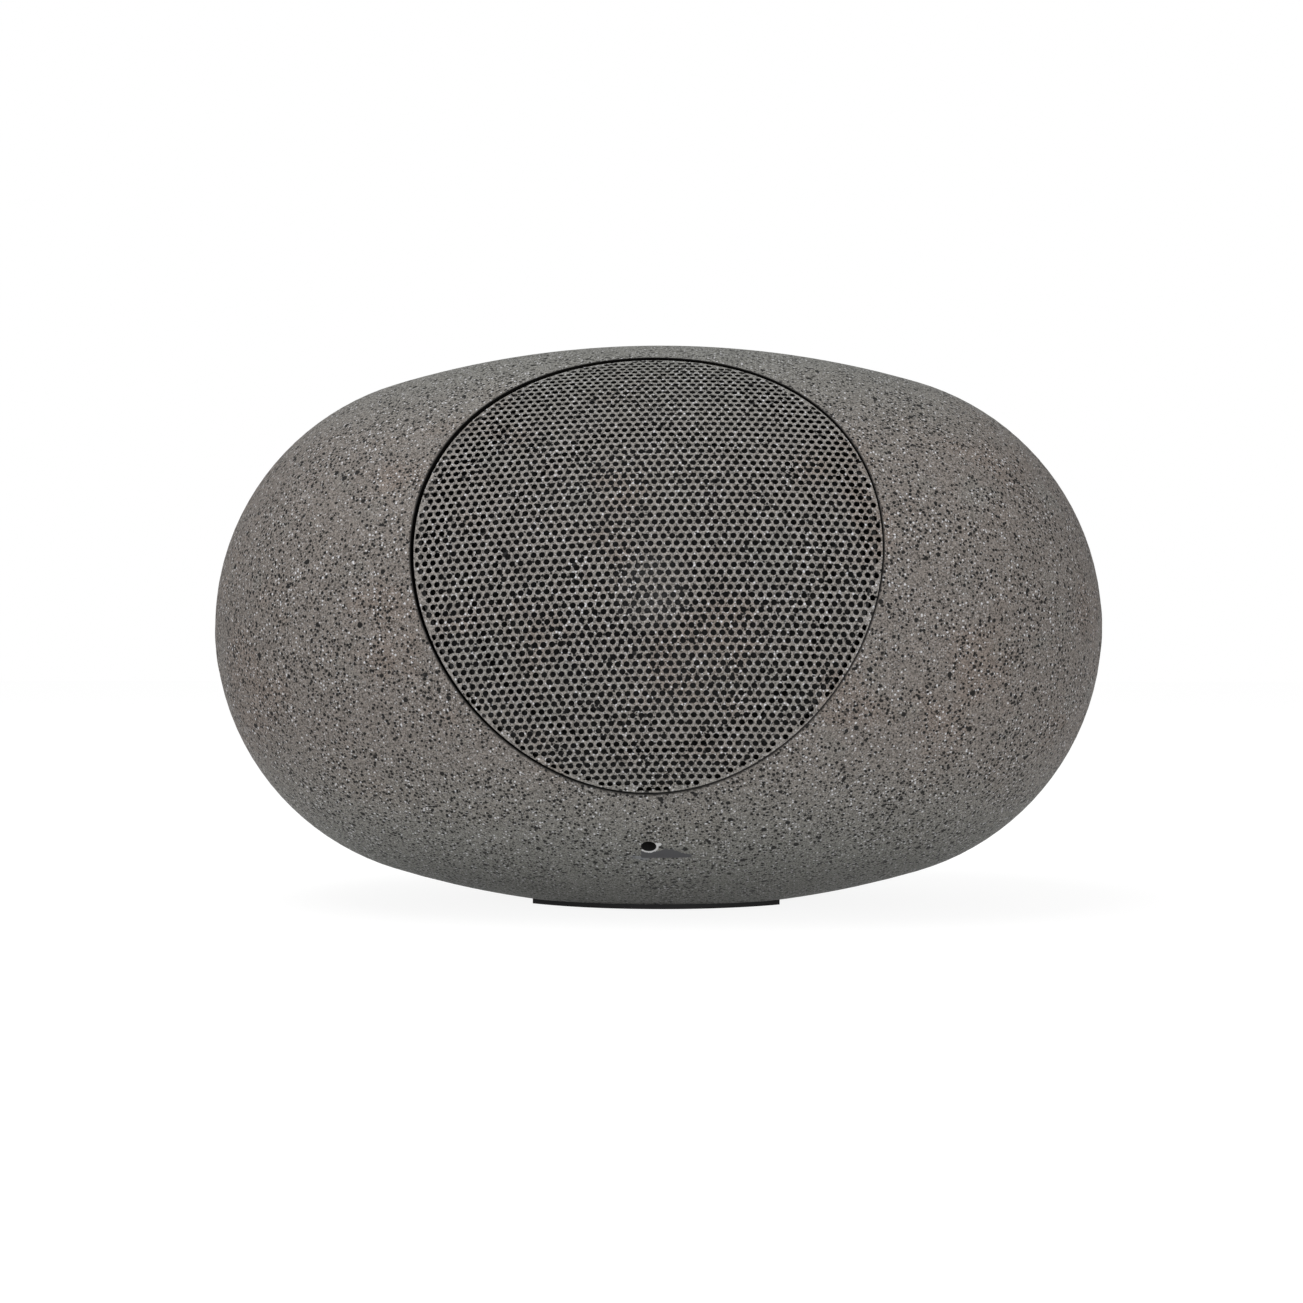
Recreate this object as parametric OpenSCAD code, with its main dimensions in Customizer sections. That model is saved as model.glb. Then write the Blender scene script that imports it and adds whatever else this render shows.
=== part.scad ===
// Garden speaker: an egg-shaped moulded housing in two shells, with a domed
// perforated grille over a full-range driver that looks slightly upwards.
// Millimetres. The front faces -Y, +Z is up, and the foot's middle is the origin.

/* [Housing] */
// Width of the egg, from side to side
housing_w = 365.2; // [354.4:1.2:376]
// Height of the whole egg, which is round about its long axis
housing_h = 232; // [229.6:1.2:234.4]
// Thickness of the moulded wall
wall = 4.5; // [4:0.1:5]
// Height that the flat foot takes off the bottom of the egg
foot_cut = 4; // [3:0.5:5]
// Thickness of the floor over the foot
floor_t = 5; // [4:0.5:6]
// Distance from each end of the foot to the rubber pad under it
pad_margin = 4.4; // [3:0.2:10]
// Thickness of the rubber pad
pad_t = 2; // [1.5:0.5:4]
// Diameter of the drain hole under the joint at the front
drain_d = 5.8; // [4:0.2:8]
// Angle of the drain hole below the horizontal
drain_angle = 46.5; // [46:0.5:54]

/* [Joint between the shells] */
// Angle by which the joint slopes down to the front
joint_tilt = 46; // [45:1:48]
// Distance of the joint from the egg's long axis
joint_offset = 10.4; // [8:0.2:12]
// Width of the shallow groove along the joint
groove_w = 3.2; // [2.4:0.2:4]
// Depth of that groove
groove_depth = 0.4; // [0.3:0.1:0.8]
// Thickness of the tongue inside the joint
tongue_t = 2; // [1.5:0.1:2.5]
// Depth to which the tongue reaches past the joint
tongue_h = 5; // [3:0.5:7]
// Width of the seal cord
seal_w = 1.4; // [1:0.1:1.6]
// Depth of the seal's groove
seal_h = 1.5; // [1:0.1:2]
// Radius of the lugs for the shell screws
lug_r = 5.5; // [5:0.5:6.5]
// Height of each lug from the joint
lug_h = 10; // [8:1:12]
// Diameter of the shell screws
shell_screw_d = 4; // [3.5:0.1:4.5]

/* [Grille] */
// Angle of the grille and driver above the horizontal
grille_tilt = 17; // [15:1:18]
// Distance by which the grille is wider than the driver, each side
grille_margin = 4.3; // [3.6:0.1:5]
// Thickness of the grille's sheet
grille_t = 1.2; // [1:0.1:1.5]
// Gap round the grille
grille_gap = 1.3; // [0.8:0.1:1.8]
// Depth of the turned edge of the grille
skirt_depth = 5; // [3.5:0.5:5.5]
// Diameter of the holes in the grille
hole_d = 6.1; // [5.5:0.1:6.6]
// Distance between the holes
hole_pitch = 10.2; // [10:0.1:11]
// Plain margin between the outer holes and the turned edge
hole_margin = 2.2; // [1.5:0.1:3]
// Thickness of the ring that carries the grille
ring_t = 1.5; // [1.2:0.1:1.8]

/* [Well and baffle] */
// Depth of the well from the highest point of its rim to the baffle
well_depth = 8.9; // [8:0.1:10]
// Thickness of the baffle
baffle_t = 5; // [4:0.5:5.5]
// Thickness of the wall round the well
well_t = 3.5; // [3:0.1:4]
// Length of the driver's screw bosses behind the baffle
boss_h = 6; // [4:1:8]

/* [Driver] */
// Distance from the crown of the egg to the edge of the driver's basket
driver_margin = 33; // [32.5:0.1:34]
// Thickness of the basket's sheet metal
basket_t = 1.6; // [1.4:0.1:2]
// Thickness of the driver's gasket
gasket_t = 1.5; // [1:0.1:2]
// Distance of the screw circle from the basket's edge
bolt_edge = 3.6; // [3.4:0.1:4]
// Number of driver screws
bolt_n = 6; // [4:1:8]
// Diameter of the driver screws
bolt_d = 3.4; // [3:0.1:3.6]
// Distance of the middle of the surround's roll from the basket's edge
roll_inset = 18; // [17.5:0.1:18.5]
// Radius of the roll's section
roll_section = 6; // [5.5:0.1:6]
// Thickness of the rubber surround
roll_t = 0.8; // [0.6:0.1:1]
// Thickness of the cone
cone_t = 0.9; // [0.7:0.1:1.1]
// Depth of the cone
cone_depth = 24; // [22:1:26]
// Radius of the voice coil's former
coil_r = 13; // [12.5:0.1:13.5]
// Radius of the dust cap
cap_r = 18; // [17:0.5:20]
// Height of the dust cap's dome
cap_h = 8; // [6:0.5:9]
// Outer radius of the magnet
magnet_r = 45; // [42:1:48]
// Thickness of the magnet
magnet_h = 15; // [12:1:17]
// Thickness of the steel plates of the magnet system
plate_t = 6; // [5:0.5:7]
// Windows between the basket's arms
window_n = 6; // [4:1:8]

/* [Line transformer] */
// Width of the laminated core
core_w = 57; // [50:1:60]
// Height of the laminated core
core_h = 47; // [40:1:48]
// Depth of the stack of laminations
core_d = 24; // [20:1:28]
// Depth to which the winding stands proud of the core, each side
winding_proud = 9; // [6:1:11]
// Distance of the transformer behind the egg's centre
transformer_y = 34; // [30:1:36]
// Distance between the transformer's two screws
transformer_pitch = 70; // [66:1:74]

/* [Terminals] */
// Distance of the terminal board from the middle, to the right
board_x = 82; // [78:1:90]
// Length of the terminal board
board_w = 44; // [40:1:50]
// Depth of the terminal board
board_d = 22; // [18:1:26]
// Thickness of the terminal board
board_t = 2; // [1.6:0.1:2.4]

/* [Cable inlet] */
// Angle of the inlet below the horizontal, at the back
gland_angle = 35; // [30:1:38]
// Diameter of the gland's thread
gland_d = 16; // [14:1:18]
// Diameter of the bore for the cable
cable_d = 7; // [5:0.5:8]

/* [Hidden] */

// The egg is a barrel of radius crown_r between two balls of radius end_r. The centres of
// barrel and ball are crown_span apart, as the long side of a 7, 24, 25 triangle
crown_span = (housing_w - housing_h)/0.48;
end_x = 0.28*crown_span;
end_r = housing_w/2 - end_x;
crown_r = crown_span + end_r;
crown_offset = 0.96*crown_span;
foot_z = -housing_h/2 + foot_cut;
lift = pad_t - foot_z;
reach = housing_w;
slack = 0.1;
smooth = 96;
foot_x = sqrt(crown_r*crown_r - pow(crown_offset - foot_z, 2));
pad_w = 2*(foot_x - pad_margin);

basket_r = housing_h/2 - driver_margin;
bolt_r = basket_r - bolt_edge;
roll_r = basket_r - roll_inset;
grille_r = basket_r + grille_margin;
well_r = grille_r + grille_gap;
baffle_w = sqrt(housing_h*housing_h/4 - well_r*well_r) - well_depth;
lug_x = end_x;
tongue_gap = 0.3;
lug_inset = wall + lug_r - 0.3;
screw_gap = 0.3;
shell_head_d = shell_screw_d + 3.4;
shell_head_h = 2.8;
screw_head_d = 5.8;
screw_head_h = 2.2;
ring_gap = 0.2;
ring_r = grille_r - grille_t - ring_gap;

cutout_r = roll_r + roll_section + basket_t + 1;
flange_w = baffle_w + gasket_t;
seat_w = flange_w + basket_t;
roll_inner = roll_r - roll_section;
cone_edge_r = roll_inner - 0.6;
cone_low_w = seat_w - cone_depth;
top_plate_w = cone_low_w - 22;
magnet_w = top_plate_w - magnet_h;
yoke_w = magnet_w - plate_t;
shelf_w = cone_low_w - 5;
shelf_r = magnet_r - 11;
former_t = 0.3;
wire_t = 0.5;

post_top_z = foot_z + 15;
strap_t = 1.5;
core_z = post_top_z + strap_t;
board_z = foot_z + board_d;
board_y = transformer_y - core_d/2 - winding_proud - 9;
post_d = 2*board_t;
post_edge = board_d/3;
gland_face = housing_h/2 - 3;
gland_panel = 7;
washer_t = 1.5;
hex_h = 5;
cap_reach = 12;

// Radius of the egg at x along its long axis, at a depth inset under the surface
function tangent_x(inset) = end_x + (end_r - inset)*0.28;
function egg_radius(x, inset) = abs(x) > tangent_x(inset)
    ? sqrt(pow(end_r - inset, 2) - pow(abs(x) - end_x, 2))
    : sqrt(pow(crown_r - inset, 2) - x*x) - crown_offset;

// Half outline of the egg, for turning about its long axis
module egg_outline(inset) {
    limit = tangent_x(inset);
    intersection() {
        translate([-crown_offset, 0]) circle(r = crown_r - inset, $fn = 360);
        translate([0, -limit]) square([housing_h, 2*limit]);
    }
    for (side = [0, 1]) mirror([0, side]) intersection() {
        translate([0, end_x]) circle(r = end_r - inset, $fn = 120);
        translate([0, limit]) square([housing_h, housing_w]);
    }
}
module egg(inset) {
    rotate([0, 90, 0]) rotate_extrude($fn = smooth) egg_outline(inset);
}
module skin(outer, inner) {
    difference() {
        egg(outer);
        egg(inner);
    }
}

// Frames: the ground, the joint's plane, the driver's axis and the cable inlet
module on_ground() { translate([0, 0, lift]) children(); }
module at_joint() { rotate([joint_tilt, 0, 0]) translate([0, 0, joint_offset]) children(); }
module at_driver(w = 0) { rotate([90 - grille_tilt, 0, 0]) translate([0, 0, w]) children(); }
module at_gland(r = 0) { rotate([-90 - gland_angle, 0, 0]) translate([0, 0, r]) children(); }
module joint_slab(low, high) {
    at_joint() translate([-reach, -reach, low]) cube([2*reach, 2*reach, high - low]);
}
module tube(r_out, r_in, h) {
    difference() {
        cylinder(r = r_out, h = h, $fn = smooth);
        translate([0, 0, -slack]) cylinder(r = r_in, h = h + 2*slack, $fn = smooth);
    }
}

// Places of the lugs: four along the long sides and one at each end, in the joint's plane
lug_y = sqrt(pow(egg_radius(lug_x, lug_inset), 2) - joint_offset*joint_offset);
lug_places = [
    [-lug_x, -lug_y], [lug_x, -lug_y], [-lug_x, lug_y], [lug_x, lug_y],
    [-housing_w/2 + lug_inset, 0], [housing_w/2 - lug_inset, 0]
];
module at_lugs(z) {
    at_joint() for (place = lug_places) translate([place[0], place[1], z]) children();
}
module at_bolts(w) {
    at_driver(w) for (i = [0:bolt_n - 1]) rotate((i + 0.5)*360/bolt_n) translate([bolt_r, 0, 0]) children();
}

module tongue() {
    inner = wall + tongue_gap + tongue_t;
    difference() {
        union() {
            intersection() {
                skin(wall + tongue_gap, inner);
                joint_slab(-tongue_h, slack);
            }
            intersection() {
                skin(wall - 1, inner);
                joint_slab(0, tongue_h);
            }
        }
        at_lugs(-tongue_h - 1) cylinder(r = lug_r + screw_gap, h = tongue_h + 1, $fn = 48);
    }
}

module front_shell() {
    color([0.43, 0.41, 0.39]) on_ground() difference() {
        union() {
            intersection() {
                skin(0, wall);
                joint_slab(0, reach);
            }
            tongue();
            intersection() {
                at_driver(baffle_w - baffle_t) cylinder(r = well_r + well_t, h = reach, $fn = smooth);
                egg(wall/2);
            }
            intersection() {
                at_lugs(0) cylinder(r = lug_r, h = lug_h, $fn = 48);
                egg(wall/2);
            }
            at_bolts(baffle_w - baffle_t - boss_h) cylinder(d = 2*bolt_d, h = boss_h + 1, $fn = 32);
        }
        at_driver(baffle_w) cylinder(r = well_r, h = reach, $fn = smooth);
        at_driver(baffle_w - baffle_t - 1) cylinder(r = cutout_r, h = baffle_t + 2, $fn = smooth);
        at_bolts(baffle_w - baffle_t - boss_h - 1) cylinder(d = bolt_d + slack, h = reach, $fn = 24);
        at_lugs(-1) cylinder(d = shell_screw_d + 2*screw_gap, h = lug_h + 2, $fn = 24);
        at_lugs(lug_h) cylinder(d = shell_head_d + 2*screw_gap, h = shell_head_h + 1, $fn = 32);
        difference() {
            joint_slab(-1, groove_w/2);
            egg(groove_depth);
            joint_slab(-2, 0);
        }
    }
}

module seal_ring(extra) {
    intersection() {
        skin(groove_depth + 0.6 - extra, groove_depth + 0.6 + seal_w + extra);
        joint_slab(-seal_h - extra, 0);
    }
}
module shell_seal() {
    color([0.1, 0.1, 0.1]) on_ground() seal_ring(0);
}

module rear_shell() {
    drain_r = housing_h/2;
    color([0.42, 0.4, 0.38]) on_ground() difference() {
        union() {
            intersection() {
                skin(0, wall);
                joint_slab(-reach, 0);
            }
            // Floor over the flat foot
            intersection() {
                egg(0);
                translate([-reach, -reach, -reach]) cube([2*reach, 2*reach, reach + foot_z + floor_t]);
            }
            intersection() {
                union() {
                    at_lugs(-lug_h) cylinder(r = lug_r, h = lug_h, $fn = 48);
                    transformer_places(-reach) cylinder(r = lug_r, h = reach + post_top_z, $fn = 48);
                    board_places(-reach) cylinder(r = lug_r - 1, h = reach + board_z, $fn = 48);
                    at_gland(gland_face - gland_panel) cylinder(r = gland_d, h = reach, $fn = 64);
                }
                egg(wall/2);
            }
        }
        translate([-reach, -reach, foot_z - reach]) cube([2*reach, 2*reach, reach]);
        seal_ring(slack);
        difference() {
            joint_slab(-groove_w/2, 1);
            egg(groove_depth);
        }
        at_lugs(-lug_h + 2) cylinder(d = shell_screw_d + slack, h = lug_h, $fn = 24);
        transformer_places(post_top_z - 8) cylinder(d = bolt_d + slack, h = 10, $fn = 24);
        board_places(board_z - 8) cylinder(d = bolt_d - 0.4 + slack, h = 10, $fn = 24);
        at_gland(gland_face) cylinder(r = gland_d - 2, h = reach, $fn = 64);
        at_gland(gland_face - gland_panel - 1) cylinder(d = gland_d + 2*screw_gap, h = reach, $fn = 64);
        rotate([90 + drain_angle, 0, 0]) translate([0, 0, drain_r - 2*wall])
            cylinder(d = drain_d, h = 3*wall, $fn = 32);
    }
}

// A screw that points along -Z, with the underside of its head at z = 0
module screw(d, length, head_d, head_h) {
    slot = d/4;
    difference() {
        union() {
            cylinder(d = head_d, h = head_h, $fn = 32);
            translate([0, 0, -length]) cylinder(d = d, h = length + slack, $fn = 24);
            translate([0, 0, -length - d/2]) cylinder(d1 = 0.6, d2 = d, h = d/2, $fn = 24);
        }
        for (turn = [0, 90]) rotate(turn) translate([-head_d/3, -slot/2, head_h/2])
            cube([head_d*2/3, slot, head_h]);
    }
}
module shell_screws() {
    color([0.6, 0.6, 0.6]) on_ground() at_lugs(lug_h)
        screw(shell_screw_d, lug_h + 6, shell_head_d, shell_head_h);
}

// Grille: one pressed sheet that follows the egg, with its edge turned in
module grille() {
    limit = grille_r - grille_t - hole_margin - hole_d/2;
    rows = floor(limit/hole_pitch*1.2);
    color([0.44, 0.42, 0.4]) on_ground() difference() {
        union() {
            intersection() {
                skin(0, grille_t);
                at_driver() cylinder(r = grille_r, h = reach, $fn = smooth);
            }
            intersection() {
                skin(0, skirt_depth);
                at_driver(baffle_w + 1) tube(grille_r, grille_r - grille_t, reach);
            }
        }
        at_driver(baffle_w) for (row = [-rows:rows], column = [-rows:rows]) {
            x = (column + (row % 2 == 0 ? 0 : 0.5))*hole_pitch;
            y = row*hole_pitch*sqrt(3)/2;
            if (norm([x, y]) < limit) translate([x, y, 0]) cylinder(d = hole_d, h = reach, $fn = 16);
        }
    }
}
module grille_ring() {
    color([0.12, 0.12, 0.12]) on_ground() intersection() {
        at_driver(baffle_w) tube(ring_r, ring_r - ring_t, reach);
        egg(grille_t + slack);
    }
}

// Driver: every piece is turned about the axis, at heights w along it
module turned() { rotate_extrude($fn = smooth) children(); }
module driver_gasket() {
    color([0.08, 0.08, 0.08]) on_ground() difference() {
        at_driver(baffle_w) tube(basket_r, cutout_r, gasket_t);
        at_bolts(baffle_w - 1) cylinder(d = bolt_d + 2*screw_gap, h = gasket_t + 2, $fn = 24);
    }
}
module driver_basket() {
    wall_r = cutout_r - 1;
    arm_r = shelf_r + 10;
    base_w = top_plate_w + plate_t;
    window_angle = 360/window_n*0.66;
    color([0.15, 0.15, 0.16]) on_ground() difference() {
        at_driver() difference() {
            turned() polygon([
                [basket_r, flange_w], [basket_r, seat_w], [wall_r - basket_t, seat_w],
                [wall_r - basket_t, seat_w - 10], [arm_r, shelf_w], [shelf_r, shelf_w],
                [shelf_r, base_w + basket_t], [coil_r + 2, base_w + basket_t], [coil_r + 2, base_w],
                [shelf_r + basket_t, base_w], [shelf_r + basket_t, shelf_w - basket_t],
                [arm_r + 1, shelf_w - basket_t], [wall_r, seat_w - 11], [wall_r, flange_w]
            ]);
            for (i = [0:window_n - 1]) rotate(i*360/window_n - window_angle/2)
                rotate_extrude(angle = window_angle, $fn = smooth)
                    polygon([
                        [wall_r + 1, seat_w - 14], [wall_r - 6, seat_w - 14],
                        [arm_r + 3, shelf_w + 4], [arm_r + 3, shelf_w - 4], [wall_r + 1, shelf_w - 4]
                    ]);
        }
        at_bolts(flange_w - 1) cylinder(d = bolt_d + 2*screw_gap, h = basket_t + 2, $fn = 24);
    }
}
module surround() {
    outer = roll_r + roll_section;
    color([0.07, 0.07, 0.07]) on_ground() at_driver(seat_w) turned() {
        difference() {
            translate([roll_r, roll_t/2]) circle(r = roll_section + roll_t/2, $fn = 64);
            translate([roll_r, roll_t/2]) circle(r = roll_section - roll_t/2, $fn = 64);
            translate([0, -housing_h]) square([housing_w, housing_h + roll_t/2]);
        }
        translate([outer - roll_t/2, 0]) square([4.5, roll_t]);
        translate([roll_inner - 4, 0]) square([4 + roll_t/2, roll_t]);
    }
}
module cone() {
    color([0.09, 0.09, 0.1]) on_ground() at_driver() turned() polygon([
        [cone_edge_r, seat_w], [cone_edge_r - 3.4, seat_w], [coil_r + 0.4, cone_low_w + cone_t],
        [coil_r + 0.4, cone_low_w], [cone_edge_r - 3, seat_w - cone_t], [cone_edge_r, seat_w - cone_t]
    ]);
}
// Height of the cone's upper face at radius r
function cone_top(r) = cone_low_w + cone_t
    + (r - coil_r - 0.4)*(cone_depth - cone_t)/(cone_edge_r - 3.8 - coil_r);
module dust_cap() {
    cap_t = 0.6;
    ball = (cap_r*cap_r + cap_h*cap_h)/(2*cap_h);
    base = cone_top(cap_r) + slack;
    color([0.3, 0.3, 0.31]) on_ground() at_driver(base) intersection() {
        translate([0, 0, cap_h - ball]) difference() {
            sphere(r = ball, $fn = smooth);
            sphere(r = ball - cap_t, $fn = smooth);
        }
        cylinder(r = cap_r + 1, h = housing_h, $fn = smooth);
    }
}
module spider() {
    spider_t = 0.6;
    inner = coil_r + 0.5;
    outer = shelf_r + 6;
    waves = 4;
    step = (shelf_r - inner - 3)/(2*waves);
    lift_w = shelf_w + 0.05;
    top = [for (i = [0:2*waves]) [inner + 2 + i*step, (i % 2 == 0 ? 0 : 1.4)]];
    color([0.72, 0.6, 0.3]) on_ground() at_driver(lift_w) turned() polygon(concat(
        [[inner, 0]], top, [[outer, 0], [outer, spider_t]],
        [for (i = [2*waves:-1:0]) top[i] + [0, spider_t]], [[inner, spider_t]]
    ));
}
module voice_coil() {
    wire_low = top_plate_w + plate_t/6;
    former_low = wire_low - plate_t/3;
    wire_h = plate_t + plate_t/6;
    color([0.7, 0.4, 0.2]) on_ground() at_driver() union() {
        translate([0, 0, former_low]) tube(coil_r, coil_r - former_t, cone_low_w + 3*cone_t - former_low);
        translate([0, 0, wire_low]) tube(coil_r + wire_t, coil_r - slack, wire_h);
    }
}
module top_plate() {
    color([0.55, 0.55, 0.56]) on_ground() at_driver(top_plate_w) tube(magnet_r - 5, coil_r + 1.2, plate_t);
}
module magnet() {
    color([0.2, 0.2, 0.21]) on_ground() at_driver(magnet_w) tube(magnet_r, coil_r + 9, magnet_h);
}
module t_yoke() {
    color([0.55, 0.55, 0.56]) on_ground() at_driver(yoke_w) difference() {
        union() {
            cylinder(r = magnet_r - 2, h = plate_t, $fn = smooth);
            cylinder(r = coil_r - 0.9, h = 2*plate_t + magnet_h, $fn = smooth);
        }
        translate([0, 0, -1]) cylinder(r = 4, h = housing_h, $fn = 32);
    }
}
module driver_terminals() {
    color([0.45, 0.3, 0.15]) on_ground() at_driver(shelf_w - 8) translate([0, -shelf_r - basket_t, 0]) {
        translate([-14, -1.6, 0]) cube([28, 1.5, 6]);
        for (side = [-1, 1]) translate([side*9 - 2.4, -8, 2]) cube([4.8, 6.5, 0.8]);
    }
}
module driver_screws() {
    length = baffle_t + gasket_t + basket_t + boss_h - 3;
    color([0.1, 0.1, 0.1]) on_ground() at_bolts(seat_w) screw(bolt_d, length, screw_head_d, screw_head_h);
}

// Line transformer, on two posts of the rear shell
module transformer_places(z) {
    for (side = [-1, 1]) translate([side*transformer_pitch/2, transformer_y, z]) children();
}
module transformer_core() {
    window_w = core_w/6;
    window_h = core_h*0.55;
    color([0.35, 0.33, 0.32]) on_ground() translate([0, transformer_y, core_z]) difference() {
        translate([-core_w/2, -core_d/2, 0]) cube([core_w, core_d, core_h]);
        for (side = [-1, 1]) translate([side*core_w/4 - window_w/2, -core_d, (core_h - window_h)/2])
            cube([window_w, 2*core_d, window_h]);
    }
}
module transformer_winding() {
    window_w = core_w/6;
    window_h = core_h*0.55;
    inner_w = core_w/2 - window_w + 2*slack;
    outer_w = core_w/2 + window_w - 1;
    height = window_h - 1;
    depth = core_d + 2*winding_proud;
    color([0.75, 0.6, 0.25]) on_ground() translate([0, transformer_y, core_z + core_h/2]) difference() {
        linear_extrude(height = height, center = true) union() {
            square([outer_w, depth - 8], center = true);
            square([outer_w - 8, depth], center = true);
            for (x = [-1, 1], y = [-1, 1]) translate([x*(outer_w/2 - 4), y*(depth/2 - 4)])
                circle(r = 4, $fn = 32);
        }
        cube([inner_w, core_d + 2*slack, 2*height], center = true);
    }
}
module transformer_strap() {
    tab = transformer_pitch/2 + 2*bolt_d;
    half = core_w/2 + slack;
    color([0.62, 0.62, 0.63]) on_ground() translate([0, transformer_y, post_top_z]) difference() {
        translate([0, core_d*3/8, 0]) rotate([90, 0, 0]) linear_extrude(height = core_d*3/4) union() {
            translate([-tab, 0]) square([2*tab, strap_t]);
            for (side = [-1, 1]) translate([side*(half + strap_t/2) - strap_t/2, 0])
                square([strap_t, core_h + strap_t + slack]);
            translate([-half - strap_t, core_h + strap_t + slack]) square([2*half + 2*strap_t, strap_t]);
        }
        for (side = [-1, 1]) translate([side*transformer_pitch/2, 0, -1])
            cylinder(d = bolt_d + 2*screw_gap, h = strap_t + 2, $fn = 24);
    }
}
module transformer_screws() {
    color([0.6, 0.6, 0.6]) on_ground() transformer_places(post_top_z + strap_t)
        screw(bolt_d, 2*bolt_d, screw_head_d, screw_head_h);
}

// Terminal board, on two posts of the rear shell
module board_places(z) {
    for (side = [-1, 1]) translate([board_x, board_y + side*(board_d/2 - 5), z]) children();
}
module terminal_board() {
    color([0.2, 0.35, 0.25]) on_ground() difference() {
        translate([board_x - board_w/2, board_y - board_d/2, board_z]) cube([board_w, board_d, board_t]);
        board_places(board_z - 1) cylinder(d = bolt_d - 0.4 + 2*screw_gap, h = board_t + 2, $fn = 24);
        post_places(board_z - 1) cylinder(d = post_d + 2*slack, h = board_t + 2, $fn = 24);
    }
}
module post_places(z) {
    for (i = [-1, 1]) translate([board_x + i*(board_w/2 - post_edge), board_y, z]) children();
}
module binding_posts() {
    color([0.8, 0.65, 0.3]) on_ground() post_places(board_z) {
        translate([0, 0, -post_d]) cylinder(d = post_d, h = 4*post_d, $fn = 24);
        translate([0, 0, board_t]) cylinder(d = 2*post_d, h = board_t, $fn = 32);
        translate([0, 0, 3*board_t]) cylinder(d = 2*post_d - 0.5, h = post_d, $fn = 32);
    }
}
module terminal_screws() {
    color([0.6, 0.6, 0.6]) on_ground() board_places(board_z + board_t) screw(bolt_d - 0.4, 5, 5.4, 2);
}

// Cable inlet, low on the back
module gland_body() {
    thread_h = gland_panel + washer_t + 6;
    color([0.12, 0.12, 0.12]) on_ground() at_gland(gland_face + washer_t) difference() {
        union() {
            translate([0, 0, -thread_h]) cylinder(d = gland_d, h = thread_h + slack, $fn = 64);
            cylinder(d = gland_d + 6, h = hex_h, $fn = 6);
            translate([0, 0, hex_h - slack]) cylinder(d = gland_d - 2, h = cap_reach - 4 + slack, $fn = 64);
        }
        translate([0, 0, -thread_h - 1]) cylinder(d = cable_d + 2, h = reach, $fn = 48);
        translate([0, 0, hex_h]) cylinder(d = cable_d + 4, h = reach, $fn = 48);
    }
}
module gland_washer() {
    color([0.06, 0.06, 0.06]) on_ground() at_gland(gland_face)
        tube(gland_d/2 + 3, gland_d/2 + slack, washer_t);
}
module gland_seal() {
    color([0.05, 0.05, 0.05]) on_ground() at_gland(gland_face + washer_t + hex_h)
        tube(cable_d/2 + 2 - slack, cable_d/2, cap_reach - 2);
}
module gland_cap() {
    color([0.13, 0.13, 0.13]) on_ground() at_gland(gland_face + washer_t + hex_h + 0.2) difference() {
        union() {
            cylinder(d = gland_d + 5, h = cap_reach - 5, $fn = 6);
            cylinder(d = gland_d + 1, h = cap_reach - 3, $fn = 64);
            translate([0, 0, cap_reach - 3]) cylinder(d1 = gland_d + 1, d2 = gland_d - 3, h = 3, $fn = 64);
        }
        translate([0, 0, -1]) cylinder(d = gland_d - 2 + 2*slack, h = cap_reach - 2.8, $fn = 64);
        translate([0, 0, -1]) cylinder(d = cable_d + 4.2, h = reach, $fn = 48);
    }
}
module gland_locknut() {
    nut_h = 4;
    color([0.13, 0.13, 0.13]) on_ground() at_gland(gland_face - gland_panel - nut_h) difference() {
        cylinder(d = gland_d + 6, h = nut_h, $fn = 6);
        translate([0, 0, -1]) cylinder(d = gland_d + slack, h = nut_h + 2, $fn = 64);
    }
}

// Pad under the foot: its front and back edges follow the foot's outline
module base_pad() {
    foot_y = sqrt(housing_h*housing_h/4 - foot_z*foot_z);
    edge_y = sqrt(pow(egg_radius(pad_w/2, 0), 2) - foot_z*foot_z);
    rise = foot_y - edge_y;
    edge_r = (pad_w*pad_w/4 + rise*rise)/(2*rise);
    color([0.07, 0.07, 0.07]) linear_extrude(height = pad_t) intersection() {
        translate([0, edge_r - foot_y]) circle(r = edge_r, $fn = 180);
        translate([0, foot_y - edge_r]) circle(r = edge_r, $fn = 180);
        square([pad_w, housing_h], center = true);
    }
}

front_shell();
rear_shell();
shell_seal();
shell_screws();
grille();
grille_ring();
driver_gasket();
driver_basket();
surround();
cone();
dust_cap();
spider();
voice_coil();
top_plate();
magnet();
t_yoke();
driver_terminals();
driver_screws();
transformer_core();
transformer_winding();
transformer_strap();
transformer_screws();
terminal_board();
binding_posts();
terminal_screws();
gland_body();
gland_washer();
gland_seal();
gland_cap();
gland_locknut();
base_pad();
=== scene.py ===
import math

import bpy
import numpy as np
from mathutils import Euler, Matrix
from mathutils.geometry import delaunay_2d_cdt


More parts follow.
